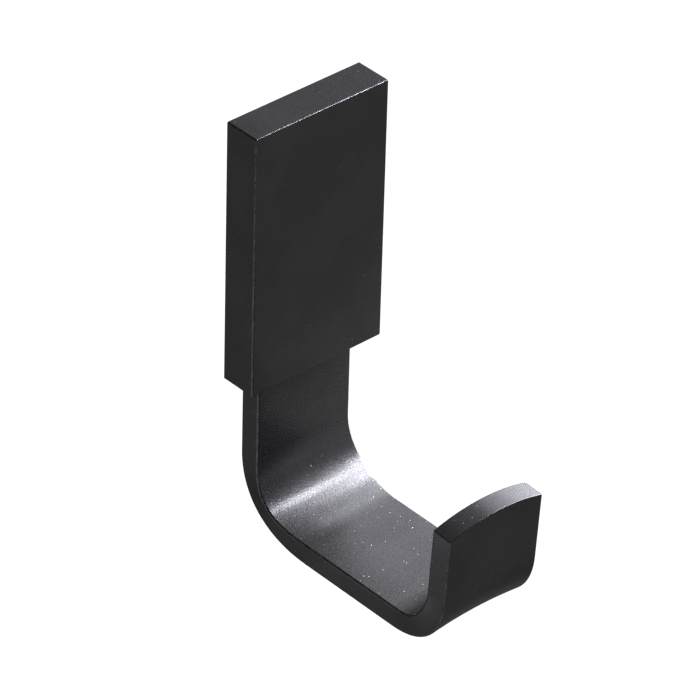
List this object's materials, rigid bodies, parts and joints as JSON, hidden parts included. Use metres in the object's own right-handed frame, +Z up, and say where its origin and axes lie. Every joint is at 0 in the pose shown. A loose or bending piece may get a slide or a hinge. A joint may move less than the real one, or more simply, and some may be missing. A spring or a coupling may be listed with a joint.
{
  "type": "robe hook",
  "caption": "Wall-mounted robe hook: a flat bar bent into a square J with a shallow arched tip, its screwed end hidden under a flat rectangular cover.",
  "frame": {"origin": "on the wall plane, at the middle of the cover's back and half way between the two wall screw holes", "axes": "+Y into the wall, -Y out of the wall towards the lip, +Z up, +X along the width of the bar"},
  "size_m": [0.0284, 0.0509, 0.0808],
  "materials": {
    "arm_black": "black anodised over a fine blast, satin",
    "cover_black": "black anodised over a fine blast, satin",
    "screw_black": "black oxide, satin"
  },
  "bodies": {
    "root": {"hook_arm": "arm_black", "cover": "cover_black", "grub_screw": "screw_black"}
  },
  "joints": []
}
